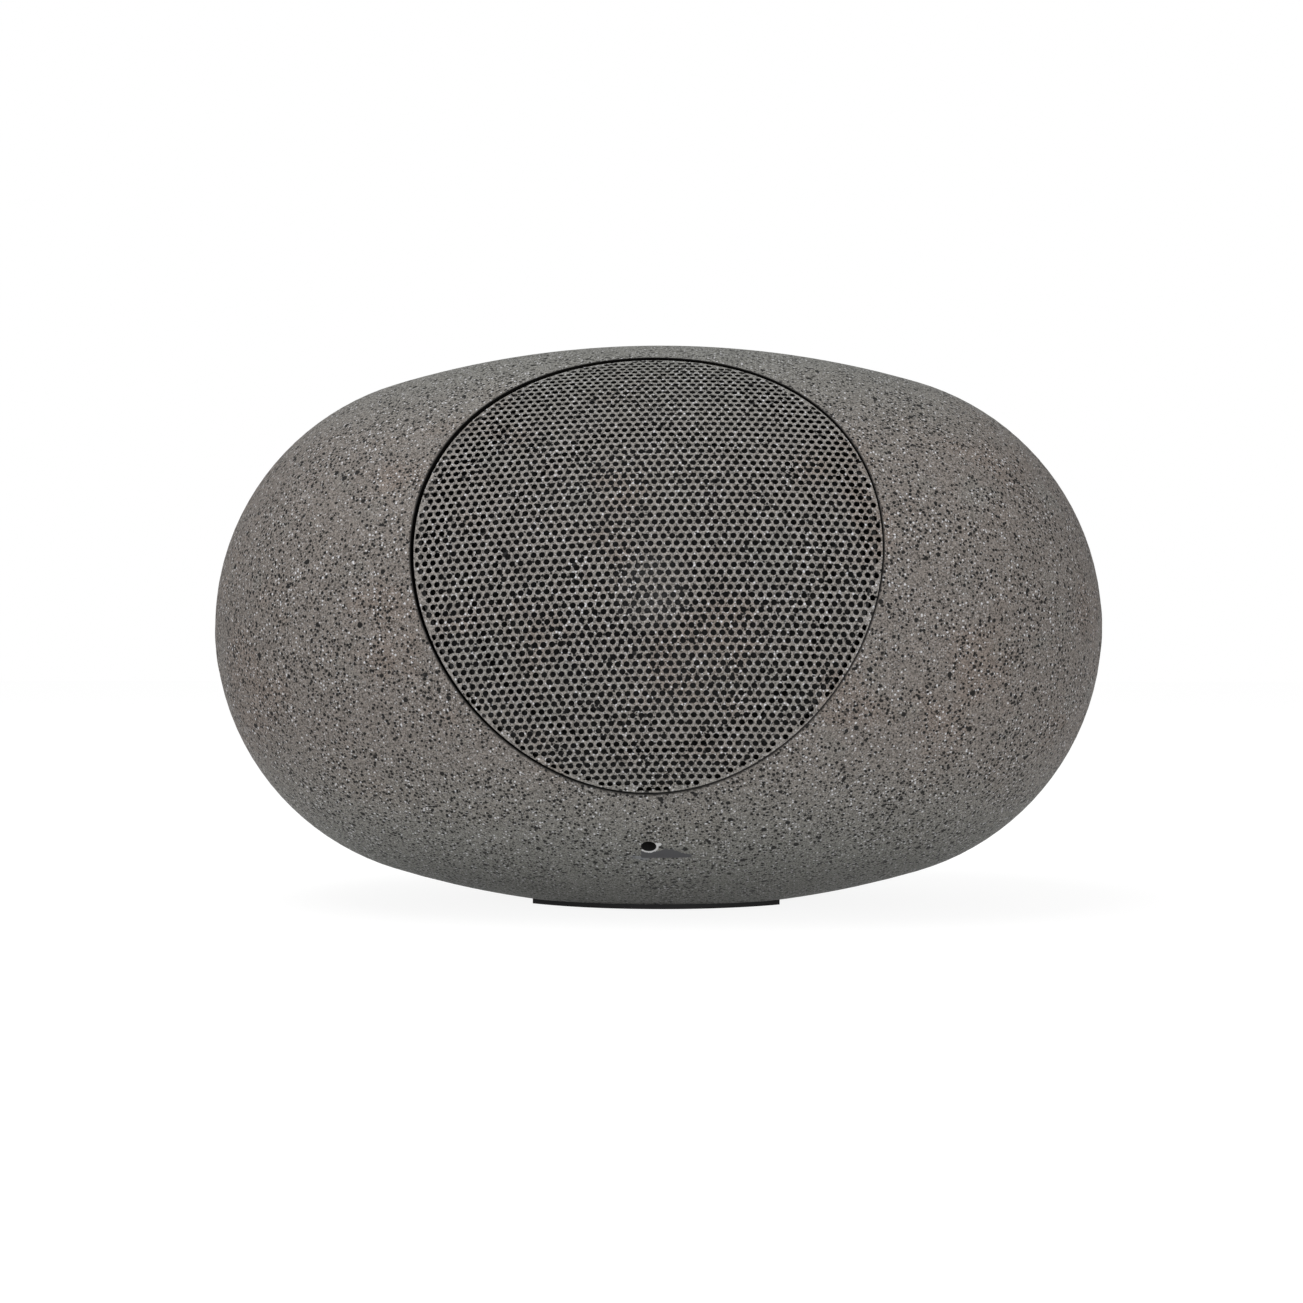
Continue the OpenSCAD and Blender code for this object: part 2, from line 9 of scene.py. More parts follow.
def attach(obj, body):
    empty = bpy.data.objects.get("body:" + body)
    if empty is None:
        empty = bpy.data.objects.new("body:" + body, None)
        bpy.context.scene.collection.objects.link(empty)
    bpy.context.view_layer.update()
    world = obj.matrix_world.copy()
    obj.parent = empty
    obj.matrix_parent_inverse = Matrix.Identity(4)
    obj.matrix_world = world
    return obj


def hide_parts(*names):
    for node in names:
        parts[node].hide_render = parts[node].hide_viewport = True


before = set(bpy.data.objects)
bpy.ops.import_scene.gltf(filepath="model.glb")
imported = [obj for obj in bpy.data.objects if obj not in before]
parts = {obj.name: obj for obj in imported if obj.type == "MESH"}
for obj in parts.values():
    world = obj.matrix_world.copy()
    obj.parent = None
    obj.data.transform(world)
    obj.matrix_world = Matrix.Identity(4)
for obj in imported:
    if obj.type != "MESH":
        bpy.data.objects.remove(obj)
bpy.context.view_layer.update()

# Camera. It stands a metre from the egg's long axis, level with it and slightly to the
# right, and looks straight ahead, as the photograph was taken.
camera_distance = 1.0
centre_height = 0.114
camera_yaw = math.radians(2.33)
camera_data = bpy.data.cameras.new("camera")
camera_data.sensor_width = 36.0
camera_data.lens = 66.45
camera_data.shift_x = -0.0043
camera_data.shift_y = -0.0192
camera_data.clip_start = 0.02
camera = bpy.data.objects.new("camera", camera_data)
camera.location = (
    camera_distance * math.sin(camera_yaw),
    -camera_distance * math.cos(camera_yaw),
    centre_height,
)
camera.rotation_euler = (math.radians(90), 0.0, camera_yaw)
bpy.context.scene.collection.objects.link(camera)
bpy.context.scene.camera = camera
bpy.context.scene.view_settings.view_transform = "Standard"

# Floor. A pale studio table. The camera sees it as white as the surround behind it, and it
# still takes the soft shadow under the speaker.
floor_half = 4.0
floor_glow_share = 0.8
floor_glow = 1.12
pale = (0.9, 0.9, 0.9, 1)
white = (1, 1, 1, 1)


def add_node(tree, kind, inputs=(), **settings):
    """A node of the given kind, with its settings and the plain values or links of its inputs."""
    node = tree.nodes.new(kind)
    for name, value in settings.items():
        setattr(node, name, value)
    for name, value in dict(inputs).items():
        if isinstance(value, bpy.types.NodeSocket):
            tree.links.new(value, node.inputs[name])
        else:
            node.inputs[name].default_value = value
    return node


def maths(tree, operation, a, b=0.0, c=0.0):
    """One step of arithmetic on masks and distances."""
    return add_node(tree, "ShaderNodeMath", {0: a, 1: b, 2: c}, operation=operation).outputs[0]


def seen_by(tree, *rays):
    """1 for the kinds of rays that are named, and 0 for all others."""
    path = add_node(tree, "ShaderNodeLightPath").outputs
    seen = path[rays[0]]
    for ray in rays[1:]:
        seen = maths(tree, "MAXIMUM", seen, path[ray])
    return seen


def end_in(tree, kind, share, a, b):
    """Ends a tree in shader a, turning to b as share goes from 0 to 1."""
    mixed = add_node(tree, "ShaderNodeMixShader", {0: share, 1: a.outputs[0], 2: b.outputs[0]})
    add_node(tree, kind, {"Surface": mixed.outputs[0]})


floor_mesh = bpy.data.meshes.new("table")
floor_mesh.from_pydata(
    [(x, y, 0.0) for x, y in ((-1, -1), (1, -1), (1, 1), (-1, 1))], [], [(0, 1, 2, 3)]
)
floor_mesh.transform(Matrix.Scale(floor_half, 4))
floor = bpy.data.objects.new("table", floor_mesh)
bpy.context.scene.collection.objects.link(floor)
floor_paint = bpy.data.materials.new("table_paint")
floor_paint.use_nodes = True
tree = floor_paint.node_tree
tree.nodes.clear()
seen = seen_by(tree, "Is Camera Ray", "Is Glossy Ray", "Is Transmission Ray")
matt = add_node(tree, "ShaderNodeBsdfDiffuse", {"Color": pale})
glow = add_node(tree, "ShaderNodeEmission", {"Color": white, "Strength": floor_glow})
share = maths(tree, "MULTIPLY", seen, floor_glow_share)
end_in(tree, "ShaderNodeOutputMaterial", share, matt, glow)
floor_mesh.materials.append(floor_paint)

# Light. An even surround, one large soft lamp above, so that the crown is a little lighter
# than the belly, and a weak one low in front, which keeps the belly from going dark.
surround_fill = 0.51
world = bpy.data.worlds.new("surround")
world.use_nodes = True
bpy.context.scene.world = world
tree = world.node_tree
tree.nodes.clear()
seen = seen_by(tree, "Is Camera Ray", "Is Transmission Ray")
fill = add_node(tree, "ShaderNodeBackground", {"Color": white, "Strength": surround_fill})
backdrop = add_node(tree, "ShaderNodeBackground", {"Color": white, "Strength": 1.0})
end_in(tree, "ShaderNodeOutputWorld", seen, fill, backdrop)


def soft_lamp(name, place, aim, size, watts):
    """A square lamp at place that faces aim, with size and power given."""
    data = bpy.data.lights.new(name, "AREA")
    data.shape = "SQUARE"
    data.size = size
    data.energy = watts
    lamp = bpy.data.objects.new(name, data)
    away = np.array(place, float) - np.array(aim, float)
    lamp.location = place
    lamp.rotation_euler = Euler(
        (math.atan2(math.hypot(away[0], away[1]), away[2]), 0.0, math.atan2(away[0], -away[1]))
    )
    bpy.context.scene.collection.objects.link(lamp)


soft_lamp("key_lamp", place=(-0.6, -0.5, 2.1), aim=(0, 0, 0.1), size=1.5, watts=25)
soft_lamp("low_lamp", place=(0.2, -1.3, 0.06), aim=(0, 0, 0.03), size=0.7, watts=7.5)

# Front shell. Half of the egg, moulded in hard plastic, with the round well that the driver
# and the grille sit in. It is sprayed with a stone-like paint full of fine dark and pale
# flecks. Down the side of the well the colour turns to a near-black painted shade, for the
# shade in the narrow gap round the grille.
mm = 0.001
driver_tilt = math.radians(17)
well_r = 88.6 * mm
# Near-black painted shade, for the side of the well and the grille's hidden faces.
shade_black = (0.012, 0.011, 0.01, 1)
stone_specular = 0.2
stone_roughness = 0.68


def step_up(tree, value, low, high, start=0.0, end=1.0):
    """start below low, end above high, and a smooth way from one to the other between them."""
    ends = {"From Min": low, "From Max": high, "To Min": start, "To Max": end}
    made = add_node(
        tree, "ShaderNodeMapRange", {"Value": value, **ends}, interpolation_type="SMOOTHSTEP"
    )
    return made.outputs[0]


def noise(tree, place, scale, detail, roughness=0.5):
    """Soft random values and colours, about scale of them to a metre."""
    inputs = {"Vector": place, "Scale": scale, "Detail": detail, "Roughness": roughness}
    return add_node(tree, "ShaderNodeTexNoise", inputs).outputs


def mix_colour(tree, share, a, b, blend="MIX"):
    """Colour a turning to b, or to a blend of both, as share goes from 0 to 1."""
    made = add_node(tree, "ShaderNodeMix", data_type="RGBA", blend_type=blend)
    for socket, value in ((made.inputs[0], share), (made.inputs[6], a), (made.inputs[7], b)):
        if isinstance(value, bpy.types.NodeSocket):
            tree.links.new(value, socket)
        else:
            socket.default_value = value
    return made.outputs[2]


def speckle_group():
    """
    Stone paint as a group: it takes a place on the surface and gives colour and height, with
    a painted sheen that greys the top and the bottom of the egg. A fleck is the core of a
    random cell, kept where the cell's own number is below a share.
    """
    group = bpy.data.node_groups.new("stone_flecks", "ShaderNodeTree")
    colours = {
        "Paint": (0.174, 0.1555, 0.141, 1),
        "Warm patch": (0.178, 0.145, 0.124, 1),
        "Dark fleck": (0.004, 0.004, 0.004, 1),
        "Pale fleck": (0.62, 0.62, 0.64, 1),
    }
    shares = {"Dark share": 0.95, "Pale share": 0.24, "Blotches": 0.6}
    face = group.interface
    face.new_socket("Place", in_out="INPUT", socket_type="NodeSocketVector")
    for name, start in colours.items():
        socket = face.new_socket(name, in_out="INPUT", socket_type="NodeSocketColor")
        socket.default_value = start
    for name, start in shares.items():
        socket = face.new_socket(name, in_out="INPUT", socket_type="NodeSocketFloat")
        socket.default_value = start
    face.new_socket("Color", in_out="OUTPUT", socket_type="NodeSocketColor")
    face.new_socket("Height", in_out="OUTPUT", socket_type="NodeSocketFloat")
    given = add_node(group, "NodeGroupInput").outputs
    place = given["Place"]

    def times(a, b):
        return maths(group, "MULTIPLY", a, b)

    def vectors(operation, inputs):
        return add_node(group, "ShaderNodeVectorMath", inputs, operation=operation).outputs[0]

    wander = noise(group, place, 1400, detail=1, roughness=0.55)["Color"]
    wander = vectors("SUBTRACT", {0: wander, 1: (0.5, 0.5, 0.5)})

    def flecks(cells_per_metre, share, core, softness, ragged):
        """
        Mask of flecks: near a cell's centre, in the share of the cells whose first number is
        low. The cell's second number makes its core 0.6 to 1.1 times as wide as given.
        """
        smallest, spread = 0.6, 0.5
        moved = vectors("ADD", {0: place, 1: vectors("SCALE", {0: wander, "Scale": ragged})})
        cells = {"Vector": moved, "Scale": cells_per_metre, "Randomness": 1.0}
        cell = add_node(group, "ShaderNodeTexVoronoi", cells, feature="F1").outputs
        number = add_node(group, "ShaderNodeSeparateColor", {0: cell["Color"]}).outputs
        kept = maths(group, "LESS_THAN", number[0], share)
        reach = times(maths(group, "MULTIPLY_ADD", number[1], spread, smallest), core)
        inside = maths(group, "SUBTRACT", reach, cell["Distance"])
        return times(step_up(group, inside, -softness, softness), kept)

    # More flecks in some regions than in others
    crowding = step_up(
        group, noise(group, place, 55, detail=2, roughness=0.55)[0], 0.34, 0.66, 0.4, 1.5
    )
    dark_share, pale_share = given["Dark share"], given["Pale share"]
    fine_dark = flecks(600, times(dark_share, crowding), core=0.38, softness=0.05, ragged=0.35 * mm)
    dust_dark = flecks(1050, times(dark_share, 0.85), core=0.38, softness=0.12, ragged=0.3 * mm)
    big_dark = flecks(230, times(dark_share, 0.3), core=0.25, softness=0.04, ragged=0.8 * mm)
    fine_pale = flecks(820, times(pale_share, crowding), core=0.34, softness=0.07, ragged=0.3 * mm)
    dust_pale = flecks(1300, times(pale_share, 1.6), core=0.38, softness=0.15, ragged=0.2 * mm)

    # Brownish patches, and greyish ones. The grey also covers the top and the bottom of the egg,
    # set by height: a painted sheen that makes them greyer and a little lighter
    warm = step_up(group, noise(group, place, 28, detail=3, roughness=0.6)[0], 0.5, 0.68)
    colour = mix_colour(
        group, times(warm, given["Blotches"]), given["Paint"], given["Warm patch"]
    )
    grey_patch_and_sheen = (0.182, 0.186, 0.172, 1)
    grey_patches_and_sheen = step_up(group, noise(group, place, 40, detail=2, roughness=0.55)[0], 0.55, 0.7)
    middle, middle_half, grey_from, grey_share = 0.125, 0.045, 0.11, 0.85
    up = add_node(group, "ShaderNodeSeparateXYZ", {0: place}).outputs[2]
    away = maths(group, "ABSOLUTE", maths(group, "SUBTRACT", up, middle))
    # Painted sheen: greyer and lighter towards the top and the bottom of the egg.
    ends = times(step_up(group, away, middle_half, grey_from), grey_share)
    grey_patches_and_sheen = maths(group, "MAXIMUM", times(grey_patches_and_sheen, times(given["Blotches"], 0.5)), ends)
    colour = mix_colour(group, grey_patches_and_sheen, colour, grey_patch_and_sheen)

    # Fine grain, then the flecks from the faintest to the strongest
    grain = noise(group, place, 1300, detail=3, roughness=0.75)[0]
    shade = step_up(group, grain, 0.3, 0.7, 0.42, 1.66)
    grey = add_node(group, "ShaderNodeCombineColor", {0: shade, 1: shade, 2: shade}).outputs[0]
    colour = mix_colour(group, 1.0, colour, grey, "MULTIPLY")
    dark = maths(group, "MAXIMUM", fine_dark, big_dark)
    layers = (
        (dust_pale, 0.4, "Pale fleck"),
        (dust_dark, 0.7, "Dark fleck"),
        (fine_pale, 0.9, "Pale fleck"),
        (dark, 0.96, "Dark fleck"),
    )
    for mask, strength, fleck in layers:
        colour = mix_colour(group, times(mask, strength), colour, given[fleck])

    lumps = noise(group, place, 650, detail=3, roughness=0.6)[0]
    height = maths(group, "ADD", times(lumps, 0.7), times(grain, 0.3))
    height = maths(group, "ADD", height, times(fine_pale, 0.3))
    height = maths(group, "SUBTRACT", height, times(dark, 0.35))
    add_node(group, "NodeGroupOutput", {"Color": colour, "Height": height})
    return group


stone_flecks = speckle_group()


def stone_material(name, **values):
    """Stone paint. Returns the material and the sockets to build on."""
    material = bpy.data.materials.new(name)
    material.use_nodes = True
    tree = material.node_tree
    shader = tree.nodes["Principled BSDF"]
    place = add_node(tree, "ShaderNodeTexCoord").outputs["Object"]
    flecks = add_node(tree, "ShaderNodeGroup", node_tree=stone_flecks)
    tree.links.new(place, flecks.inputs["Place"])
    for key, value in values.items():
        flecks.inputs[key.replace("_", " ").capitalize()].default_value = value
    rise = {"Height": flecks.outputs["Height"], "Strength": 0.35, "Distance": 0.3 * mm}
    tree.links.new(add_node(tree, "ShaderNodeBump", rise).outputs[0], shader.inputs["Normal"])
    tree.links.new(flecks.outputs["Color"], shader.inputs["Base Color"])
    shader.inputs["Roughness"].default_value = stone_roughness
    shader.inputs["Specular IOR Level"].default_value = stone_specular
    return material, tree, shader, place, flecks.outputs["Color"]


def finish(node, material):
    """Puts a material in every slot of a part that comes from the solid model."""
    mesh = parts[node].data
    mesh.materials.clear()
    mesh.materials.append(material)


def seen_along(tree, place, rise):
    """
    The place as seen along an axis from the egg's centre to the front, which rises by the
    given angle: x and y across the axis, z along it.
    """
    moved = add_node(
        tree, "ShaderNodeVectorMath", {0: place, 1: (0, 0, centre_height)}, operation="SUBTRACT"
    )
    turn = {"Vector": moved.outputs[0], "Angle": rise - math.radians(90)}
    turned = add_node(tree, "ShaderNodeVectorRotate", turn, rotation_type="X_AXIS")
    return add_node(tree, "ShaderNodeSeparateXYZ", {0: turned.outputs[0]}).outputs


def distance(tree, x, y):
    """Length of the line across x and up y."""
    return maths(
        tree, "SQRT", maths(tree, "MULTIPLY_ADD", x, x, maths(tree, "MULTIPLY", y, y))
    )


front_paint, tree, shader, place, paint = stone_material("stone_front")
x, y, z = seen_along(tree, place, driver_tilt)
# Painted shade: down the side of the well the colour turns near-black, for the shade in the narrow
# gap.
shade_start, shade_end = well_r + 0.05 * mm, well_r + 0.9 * mm
well_shade = step_up(tree, distance(tree, x, y), shade_start, shade_end, 1.0, 0.0)
well_shade = maths(tree, "MULTIPLY", well_shade, maths(tree, "GREATER_THAN", z, 0.0))
tree.links.new(mix_colour(tree, well_shade, paint, shade_black), shader.inputs["Base Color"])
finish("front_shell", front_paint)

# Rear shell. The other half, with the flat foot, the drain hole low at the front and the
# recess for the cable inlet. A pale painted highlight lies on the drain hole's lip, where its
# edge catches the light, the bore is painted near-black for the shade inside it, and a scrape
# beside the hole shows the dark moulding under the paint.
drain_angle = math.radians(46.5)
drain_r = 2.9 * mm
highlight_width, highlight_blur, mark_jitter = 0.85 * mm, 0.25 * mm, 1.6 * mm
# Pale painted highlight for the drain hole's lip.
highlight_grey = (0.6, 0.6, 0.6, 1)
bare_plastic = (0.075, 0.075, 0.08, 1)
rubbed_paint = (0.21, 0.22, 0.235, 1)
# Near-black painted shade for the drain hole's bore.
bore_shade_black = (0.015, 0.015, 0.015, 1)
rear_paint, tree, shader, place, paint = stone_material("stone_rear")
x, y, z = seen_along(tree, place, -drain_angle)
outer_skin = 0.1
near = maths(tree, "GREATER_THAN", z, outer_skin)
mark_noise = noise(tree, place, 700.0, detail=2.0)[0]
jitter = maths(tree, "MULTIPLY_ADD", mark_noise, mark_jitter, -mark_jitter / 2)


def below(value, low, high):
    """1 below low, 0 above high."""
    return maths(tree, "SUBTRACT", 1.0, step_up(tree, value, low, high))


def both(*masks):
    """The masks multiplied together."""
    result = masks[0]
    for mask in masks[1:]:
        result = maths(tree, "MULTIPLY", result, mask)
    return result


# Painted highlight: the lip is painted pale below the hole and on its right, where its edge
# catches the light, and in one larger patch at the upper right
radius = distance(tree, x, y)
lip_r = drain_r + highlight_width
lip_highlight = below(maths(tree, "ADD", radius, jitter), lip_r, lip_r + highlight_blur)
right_share, bare_from, bare_to = 0.75, -0.7 * mm, 0.6 * mm
lower_right = maths(tree, "SUBTRACT", maths(tree, "MULTIPLY", x, right_share), y)
lip_highlight = both(lip_highlight, near, step_up(tree, lower_right, bare_from, bare_to))
highlight_x, highlight_y, highlight_r = 4.0 * mm, 1.1 * mm, 0.8 * mm
upper_highlight = distance(tree, maths(tree, "SUBTRACT", x, highlight_x), maths(tree, "SUBTRACT", y, highlight_y))
upper_highlight = both(below(maths(tree, "ADD", upper_highlight, jitter), highlight_r, highlight_r + highlight_blur), near)
lip_highlight = maths(tree, "MAXIMUM", lip_highlight, upper_highlight)
# Painted shade: the hole's bore is painted near-black, for the shade inside it.
bore_shade = both(below(radius, drain_r + 0.03 * mm, drain_r + 0.15 * mm), near)

# The scrape starts under the hole and runs out to a point on the right. Its upper edge steps
# up past the hole and then slopes down to the point
scrape_left, scrape_tip, scrape_bottom = -3.0 * mm, 16.2 * mm, -7.5 * mm
slope_start, slope = 8.9 * mm, -0.6
edge_low, edge_step = -1.6 * mm, -1.2 * mm
step_from, step_to = 3.8 * mm, 6.2 * mm
soft = 0.15 * mm
across_x = maths(tree, "ADD", x, jitter)
across_y = maths(tree, "ADD", y, jitter)
past = maths(tree, "MAXIMUM", maths(tree, "SUBTRACT", across_x, slope_start), 0.0)
top = maths(tree, "MULTIPLY_ADD", past, slope, edge_low)
top = maths(tree, "MULTIPLY_ADD", below(across_x, step_from, step_to), edge_step, top)
scrape = step_up(tree, maths(tree, "SUBTRACT", top, across_y), -soft, soft)
to_tip = maths(tree, "SUBTRACT", scrape_tip, across_x)
for value, low in ((y, scrape_bottom), (across_x, scrape_left), (to_tip, 0.0)):
    scrape = both(scrape, step_up(tree, value, low - soft, low + soft))
scrape = both(scrape, near)

# A faint pale rub on the other side, along the same line, drawn out sideways. Each of its
# four ends, in millimetres, is where it starts to show and where it is full
rub_strength = 0.85
drawn_out = (1.0, 6.0, 6.0)
streaks = add_node(tree, "ShaderNodeMapping", {"Vector": place, "Scale": drawn_out})
rub = step_up(tree, noise(tree, streaks.outputs[0], 160.0, detail=2.0)[0], 0.46, 0.62)
minus_x, minus_y = maths(tree, "MULTIPLY", x, -1.0), maths(tree, "MULTIPLY", y, -1.0)
rub_ends = ((x, -14.0, -11.0), (minus_x, -2.0, 1.0), (y, -9.6, -8.8), (minus_y, 5.8, 6.8))
for value, low, high in rub_ends:
    rub = both(rub, step_up(tree, value, low * mm, high * mm))
rub = both(rub, near, rub_strength)
colour = paint
marks = ((rub, rubbed_paint), (scrape, bare_plastic), (lip_highlight, highlight_grey), (bore_shade, bore_shade_black))
for mask, mark in marks:
    colour = mix_colour(tree, mask, colour, mark)
tree.links.new(colour, shader.inputs["Base Color"])
finish("rear_shell", rear_paint)


# Seal and shell screws. A round rubber cord lies in a groove of the rear shell, and six
# plated screws pull the front shell down on it from inside.
def plain_material(
    name, colour, roughness, metallic=0.0, grain=0.12, scale=900.0, bump=0.2 * mm, specular=0.25
):
    """One colour broken up by fine and wide grain, in lightness, roughness and height."""
    material = bpy.data.materials.new(name)
    material.use_nodes = True
    tree = material.node_tree
    shader = tree.nodes["Principled BSDF"]
    place = add_node(tree, "ShaderNodeTexCoord").outputs["Object"]
    fine = noise(tree, place, scale, detail=3.0)[0]
    wide = noise(tree, place, scale / 14, detail=2.0)[0]
    mottle = maths(tree, "MULTIPLY_ADD", fine, 0.6, maths(tree, "MULTIPLY", wide, 0.4))
    low, high, rough_spread = 0.3, 0.7, 0.07
    darker = tuple(c * (1 - grain) for c in colour) + (1,)
    lighter = tuple(min(1.0, c * (1 + grain)) for c in colour) + (1,)
    shade = mix_colour(tree, step_up(tree, mottle, low, high), darker, lighter)
    tree.links.new(shade, shader.inputs["Base Color"])
    ends = {"From Min": low, "From Max": high}
    ends.update({"To Min": roughness - rough_spread, "To Max": roughness + rough_spread})
    rough = add_node(tree, "ShaderNodeMapRange", {"Value": mottle, **ends})
    tree.links.new(rough.outputs[0], shader.inputs["Roughness"])
    rise = {"Height": mottle, "Strength": 0.3, "Distance": bump}
    tree.links.new(add_node(tree, "ShaderNodeBump", rise).outputs[0], shader.inputs["Normal"])
    shader.inputs["Metallic"].default_value = metallic
    shader.inputs["Specular IOR Level"].default_value = specular
    return material


black_rubber = plain_material("black_rubber", (0.016, 0.016, 0.017), 0.75, scale=700.0)
plated_steel = plain_material(
    "plated_steel", (0.56, 0.56, 0.57), 0.3, metallic=1.0, scale=1500.0, bump=0.05 * mm,
    specular=0.5,
)
finish("shell_seal", black_rubber)
finish("shell_screws", plated_steel)

# Paint over the joint. The stone paint was sprayed on after the two shells were closed, so it
# bridges the groove between them and leaves only a soft, shallow valley round the egg.
joint_tilt = math.radians(46)
joint_offset = 10.4 * mm
joint_spread = 4.4 * mm
joint_valley = 0.36 * mm
joint_ridge = 0.14 * mm
joint_lift = 0.03 * mm
joint_buried = 0.16 * mm
joint_under = 0.42 * mm
nearest, farthest = 80 * mm, 200 * mm
groove_share = 0.36
ridge_from = 0.2
filled_share = 0.88
ball_r, ball_x, barrel_r, barrel_offset = 104.9 * mm, 77.7 * mm, 382.4 * mm, 266.4 * mm
touch_slope = 0.28


def egg_section(x, inset):
    """
    Radius of the egg's round section at x. It is the barrel's circle near the middle, and
    the end ball's circle past the line where the two touch.
    """
    x = np.abs(x)
    touch = ball_x + (ball_r - inset) * touch_slope
    barrel = np.sqrt((barrel_r - inset) ** 2 - x**2) - barrel_offset
    ball = np.sqrt(np.maximum((ball_r - inset) ** 2 - (x - ball_x) ** 2, 0.0))
    return np.where(x > touch, ball, barrel)


def new_piece(name, points, faces):
    """A smooth mesh piece from an array of points and a list of faces, riding on the speaker."""
    mesh = bpy.data.meshes.new(name)
    mesh.from_pydata(points.reshape(-1, 3).tolist(), [], [tuple(f) for f in faces])
    mesh.polygons.foreach_set("use_smooth", np.full(len(mesh.polygons), True))
    mesh.update()
    piece = bpy.data.objects.new(name, mesh)
    bpy.context.scene.collection.objects.link(piece)
    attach(piece, "root")
    return piece


def joint_ribbon(steps, top_points=25, under_points=5, halvings=40):
    """
    A closed band along the joint. A ray from the axis at each angle, in the joint's plane or
    a little beside it, is halved until it ends on the egg, sunk by a smooth valley between
    two low ridges. The valley and the ridges are full at the sides of the egg, and the paint
    almost fills them in front and behind. The band's edges and its underside are buried.
    """
    turn = np.arange(steps) * 2 * math.pi / steps
    top = np.linspace(-1, 1, top_points)
    side = np.concatenate([top, np.linspace(1, -1, under_points)]) * joint_spread
    width = np.abs(top)[:, None]
    valley = joint_valley * np.cos(np.minimum(width / groove_share, 1) * math.pi / 2) ** 2
    on_ridge = np.clip((width - ridge_from) / (1 - ridge_from), 0, 1)
    ridge = joint_ridge * np.sin(on_ridge * math.pi) ** 2
    fullness = 1 - filled_share + filled_share * np.cos(turn) ** 2
    shape = (valley - ridge) * fullness - joint_lift + joint_buried * (width == 1)
    depth = np.concatenate([shape, np.full((under_points, steps), joint_under)])
    across, along = np.meshgrid(turn, side)
    level = joint_offset + along
    near, far = np.full(across.shape, nearest), np.full(across.shape, farthest)
    for _ in range(halvings):
        reach = (near + far) / 2
        section = egg_section(reach * np.cos(across), depth)
        outside = (reach * np.sin(across)) ** 2 + level**2 > section**2
        near, far = np.where(outside, near, reach), np.where(outside, reach, far)
    c, s = math.cos(joint_tilt), math.sin(joint_tilt)
    up = reach * np.sin(across)
    place = [reach * np.cos(across), up * c - level * s, centre_height + up * s + level * c]
    index = np.arange(across.size).reshape(-1, steps)
    after = np.roll(index, -1, axis=0)
    corners = [index, np.roll(index, -1, axis=1), np.roll(after, -1, axis=1), after]
    return np.stack(place, axis=-1), np.stack(corners, axis=-1).reshape(-1, 4)


seam = new_piece("seam_paint", *joint_ribbon(steps=900))
seam.data.set_sharp_from_angle(angle=math.radians(40))
seam.data.materials.append(stone_material("stone_joint")[0])

# Grille. One sheet of steel, perforated with 2.3 mm holes in staggered rows, pressed to the
# curve of the egg, with its edge turned down, and sprayed with the same stone paint. It was
# pushed in by hand, so it sits slightly low and to the right in its gap.
hole_pitch = 3.23 * mm
hole_r = 1.17 * mm
hole_sides = 12
least_hole = 0.25
rim_web = 0.12 * mm
rim_sides = 360
grille_r = 87.8 * mm
grille_t = 0.8 * mm
edge_round = 0.4 * mm
edge_steps = 6
# Rings of the rim that keep the paint colour; the rest of the rim and skirt get painted shade.
unshaded_rings = 4
skirt = 5.0 * mm
skirt_top = edge_round + 0.3 * mm
grille_turn = math.radians(1.3)
grille_shift = (0.42 * mm, -0.5 * mm)
grille_sink = 0.35 * mm
sink_side = (-0.63, 0.78)
field_r = grille_r - edge_round


def above_driver(u, v, inset=0.0):
    """
    Height along the driver's axis at which the egg's surface, or one inset below it, stands
    over the point u across and v up.
    """
    return np.sqrt(egg_section(u, inset) ** 2 - v**2)


def from_driver(u, v, w):
    """Points given across, up and along the driver's axis, as points of the shared frame."""
    c, s = math.cos(driver_tilt), math.sin(driver_tilt)
    return np.stack([u, v * s - w * c, centre_height + v * c + w * s], axis=-1)


def circle(sides, radius):
    """Points of a regular polygon of the given radius."""
    turn = np.arange(sides) * 2 * math.pi / sides
    return radius * np.stack([np.cos(turn), np.sin(turn)], axis=-1)


def hole_rings():
    """
    The holes' points, seen along the driver's axis. Their centres are a staggered lattice,
    slightly turned. The flat sheet is pressed to a curve, so a distance along it is drawn in
    as the curve's radius times the sine of its angle. Holes over the rim are cut off there.
    """
    reach = int(field_r / hole_pitch) + 2
    columns, rows = np.arange(-reach, reach + 1), np.arange(-reach * 2, reach * 2 + 1)
    column, row = np.meshgrid(columns, rows)
    x = (column + 0.5 * (row % 2)) * hole_pitch
    y = row * hole_pitch * math.sqrt(3) / 2
    c, s = math.cos(grille_turn), math.sin(grille_turn)
    centres = np.stack([x * c - y * s, x * s + y * c], axis=-1).reshape(-1, 2)
    curve = np.array([barrel_r, barrel_r - barrel_offset])
    limit = field_r - rim_web
    drawn_in = curve * np.sin(centres / curve)
    kept = np.hypot(drawn_in[:, 0], drawn_in[:, 1]) < limit - least_hole * hole_r
    rings = (centres[kept][:, None, :] + circle(hole_sides, hole_r)[None]).reshape(-1, 2)
    rings = curve * np.sin(rings / curve)
    return rings * np.minimum(1.0, limit / np.hypot(rings[:, 0], rings[:, 1]))[:, None]


